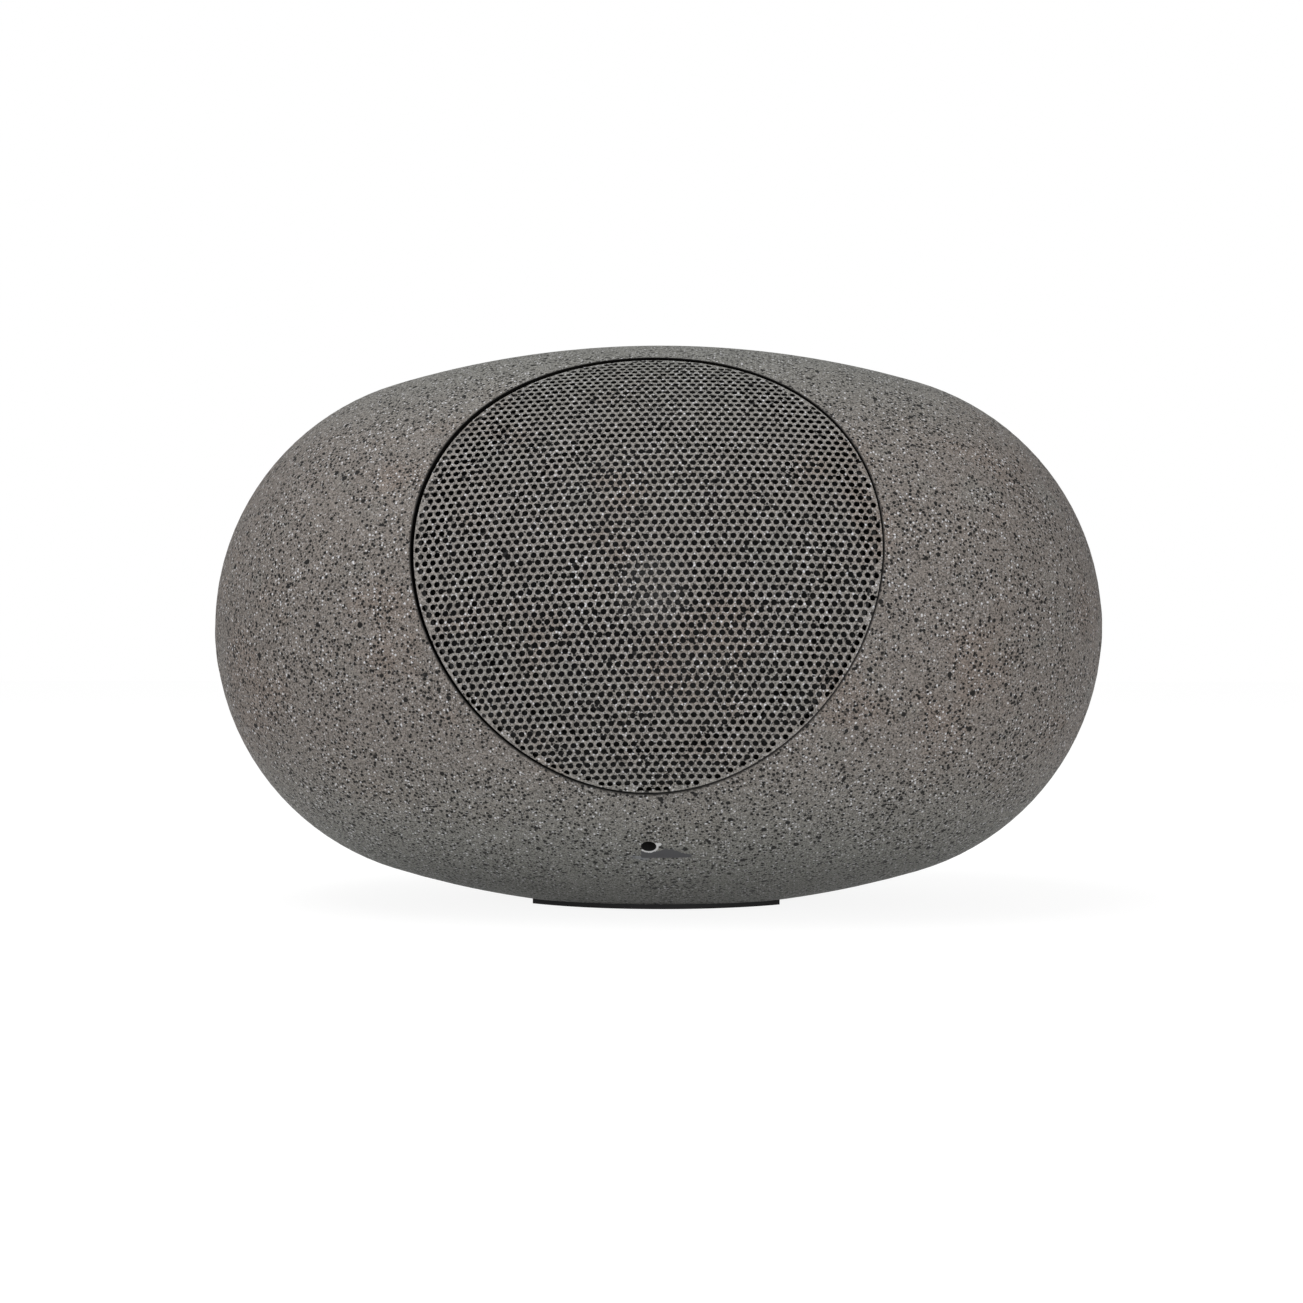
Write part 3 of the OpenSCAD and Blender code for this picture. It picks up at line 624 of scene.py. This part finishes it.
def perforated_sheet():
    """
    The rim's points and the holes' points, and the sheet between them cut into triangles. A
    triangle with all its corners on one hole is the hole itself, and is left out.
    """
    holes = hole_rings()
    flat = np.concatenate([circle(rim_sides, field_r), holes])
    rim_loop = np.arange(rim_sides)
    hole_loops = rim_sides + np.arange(len(holes)).reshape(-1, hole_sides)
    rim_edges = np.stack([rim_loop, np.roll(rim_loop, -1)], axis=-1)
    hole_edges = np.stack([hole_loops, np.roll(hole_loops, -1, axis=1)], axis=-1)
    edges = np.concatenate([rim_edges, hole_edges.reshape(-1, 2)])
    triangles = np.array(delaunay_2d_cdt(flat.tolist(), edges.tolist(), [], 1, 1e-9)[2])
    owner = (triangles - rim_sides) // hole_sides
    one_owner = (owner[:, 0] == owner[:, 1]) & (owner[:, 1] == owner[:, 2])
    in_hole = one_owner & (triangles.min(axis=1) >= rim_sides)
    return flat, triangles[~in_hole], rim_loop, hole_loops


def band(loop_a, loop_b):
    """Quads between two closed loops of the same number of points."""
    corners = [loop_a, loop_b, np.roll(loop_b, -1, axis=-1), np.roll(loop_a, -1, axis=-1)]
    return np.stack(corners, axis=-1).reshape(-1, 4)


def grille_sheet():
    """
    The sheet's points across, up and along the driver's axis, its faces, and the share of
    painted shade at each point: 0 on the front, and 1 on the back and on the rim's rings past
    the first few, so that the hole walls and the gap round the sheet are painted dark for their
    shade. The front follows the egg and the back lies a sheet's thickness beneath it. Rings of
    points round the rim go over the rounded edge, down the turned skirt and up its inside to
    the back.
    """
    flat, sheet, rim_loop, hole_loops = perforated_sheet()
    count = len(flat)
    front = np.column_stack([flat, above_driver(flat[:, 0], flat[:, 1])])
    back = np.column_stack([flat, above_driver(flat[:, 0], flat[:, 1], grille_t)])
    bend = np.linspace(0, math.pi / 2, edge_steps + 1)[1:]
    rings = [(field_r + edge_round * math.sin(t), edge_round * (1 - math.cos(t))) for t in bend]
    inner_r = grille_r - grille_t
    rings += [(grille_r, skirt), (inner_r, skirt), (inner_r, skirt_top)]
    rims = []
    for ring_r, drop in rings:
        ring = circle(rim_sides, ring_r)
        rims.append(np.column_stack([ring, above_driver(ring[:, 0], ring[:, 1]) - drop]))
    ring_loops = [2 * count + i * rim_sides + rim_loop for i in range(len(rings))]
    loops = [rim_loop] + ring_loops + [rim_loop + count]
    skirts = np.concatenate([band(a, b) for a, b in zip(loops[:-1], loops[1:])])
    walls = band(hole_loops, hole_loops + count)[:, ::-1]
    faces = sheet.tolist() + (sheet[:, ::-1] + count).tolist() + walls.tolist() + skirts.tolist()
    shade_mask = [np.full(rim_sides, float(i >= unshaded_rings)) for i in range(len(rings))]
    under = np.concatenate([np.zeros(count), np.ones(count)] + shade_mask)
    return np.concatenate([front, back] + rims), faces, under


points, faces, under = grille_sheet()
sunk = 1 + (points[:, 0] * sink_side[0] + points[:, 1] * sink_side[1]) / grille_r
points[:, 2] -= grille_sink / 2 * sunk
points[:, :2] += grille_shift
grille_piece = new_piece("grille_sheet", from_driver(*points.T), faces)
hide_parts("grille")
mesh = grille_piece.data
mesh.attributes.new("under", "FLOAT", "POINT").data.foreach_set("value", under)
# Painted light: the grille is given a lighter paint than the shells, with fewer dark flecks and
# more pale ones, for the extra light on the sheet, which faces up towards the lamp.
grille_paint, tree, shader, place, paint = stone_material(
    "stone_grille", Dark_share=0.5, Pale_share=0.3, Paint=(0.215, 0.2, 0.185, 1)
)
# Painted shade: the back of the sheet, the hole walls and the lower rim and skirt are near-black,
# for their shade.
shade_mask = add_node(tree, "ShaderNodeAttribute", attribute_name="under").outputs["Fac"]
colour = mix_colour(tree, step_up(tree, shade_mask, 0.05, 0.6), paint, shade_black)
tree.links.new(colour, shader.inputs["Base Color"])
mesh.materials.append(grille_paint)

# Grille ring. A black moulded plastic hoop, fixed in the well of the front shell. The
# grille's turned edge is pressed over it.
black_plastic = plain_material("black_plastic", (0.018, 0.018, 0.018), 0.55)
finish("grille_ring", black_plastic)

# Driver. A black steel basket with a rubber surround, a pressed cone and a glossier dust
# cap, screwed to the baffle through a rubber gasket, with its magnet system behind.
finish("driver_gasket", black_rubber)
finish("driver_basket", plain_material("basket_paint", (0.02, 0.02, 0.021), 0.4, scale=1200.0))
finish("surround", plain_material("surround_rubber", (0.014, 0.014, 0.014), 0.55, scale=500.0))
finish("cone", plain_material("cone_sheet", (0.013, 0.013, 0.014), 0.5, scale=1400.0))
finish("dust_cap", plain_material("cap_sheet", (0.05, 0.05, 0.052), 0.4, scale=1600.0))
finish("spider", plain_material("spider_cloth", (0.5, 0.32, 0.1), 0.85, grain=0.3, scale=1500.0))
finish(
    "voice_coil",
    plain_material("copper_wire", (0.6, 0.25, 0.12), 0.35, metallic=1.0, scale=2500.0),
)
finish("magnet", plain_material("ferrite", (0.035, 0.035, 0.037), 0.55, scale=1100.0))
finish(
    "driver_terminals",
    plain_material("terminal_brass", (0.6, 0.4, 0.15), 0.35, metallic=1.0),
)
finish("driver_screws", plain_material("black_screw", (0.02, 0.02, 0.02), 0.35))
for node in ("top_plate", "t_yoke"):
    finish(node, plated_steel)

# Line transformer. Steel laminations round a taped copper winding, held by a strap and two
# screws on two posts of the rear shell.
finish(
    "transformer_core",
    plain_material("laminations", (0.16, 0.14, 0.13), 0.5, metallic=0.6, scale=1200.0),
)
finish(
    "transformer_winding",
    plain_material("winding_tape", (0.55, 0.38, 0.06), 0.4, scale=600.0),
)
for node in ("transformer_strap", "transformer_screws"):
    finish(node, plated_steel)

# Terminal board. A small board, screwed to two posts of the rear shell, with a brass post
# for each lead.
finish("terminal_board", plain_material("board", (0.03, 0.1, 0.05), 0.45))
finish("binding_posts", plain_material("post_brass", (0.65, 0.45, 0.17), 0.3, metallic=1.0))
finish("terminal_screws", plated_steel)

# Cable inlet. A black nylon gland through the back of the housing: body, washer, rubber
# insert, cap and locknut.
for node in ("gland_body", "gland_cap", "gland_locknut"):
    finish(node, black_plastic)
for node in ("gland_washer", "gland_seal"):
    finish(node, black_rubber)

# Foot pad. A thin sheet of black rubber, cut to the outline of the foot and glued under
# it. It keeps the speaker from sliding.
finish("base_pad", plain_material("pad_rubber", (0.012, 0.012, 0.0125), 0.7, scale=800.0))
